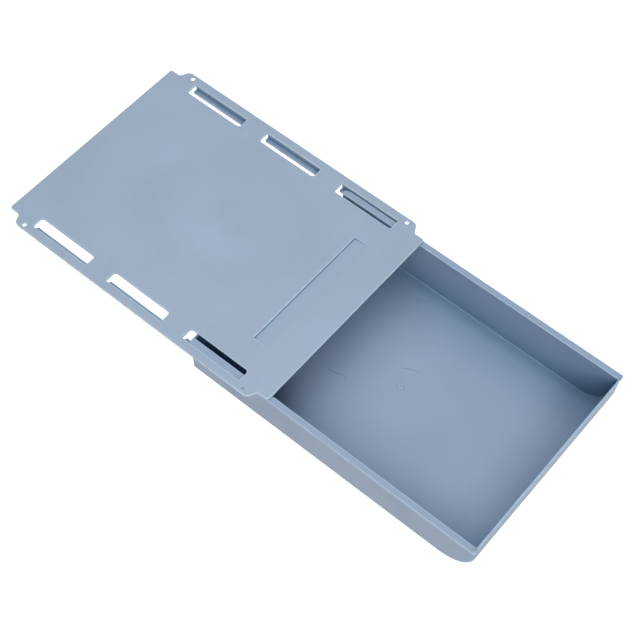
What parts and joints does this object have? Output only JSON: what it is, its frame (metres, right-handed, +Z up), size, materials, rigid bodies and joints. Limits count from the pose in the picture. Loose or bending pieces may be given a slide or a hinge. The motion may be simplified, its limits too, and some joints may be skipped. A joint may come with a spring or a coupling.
{
  "type": "under-desk slide-out drawer",
  "caption": "Shallow slide-out drawer for the underside of a desk: a flat slotted mounting plate with hooked rails, and an open tray that slides along them.",
  "frame": {"origin": "centre of the mounting plate's top face, the face that goes against the desk", "axes": "+X the way the tray pulls out, +Y across the slide, +Z up, out of the plate's top face"},
  "size_m": [0.5605, 0.251, 0.0592],
  "materials": {
    "plate_plastic": "light blue-grey moulded plastic, satin top face with very faint flow marks",
    "tray_plastic": "light blue-grey moulded plastic, satin, a few fine scuffs on the floor"
  },
  "bodies": {
    "plate": {"mounting_plate": "plate_plastic"},
    "tray": {"drawer_tray": "tray_plastic"}
  },
  "joints": [
    {"name": "tray_slide", "type": "slide", "parent": "plate", "child": "tray", "axis": [1, 0, 0], "range_m": [-0.23, 0.0438]}
  ]
}
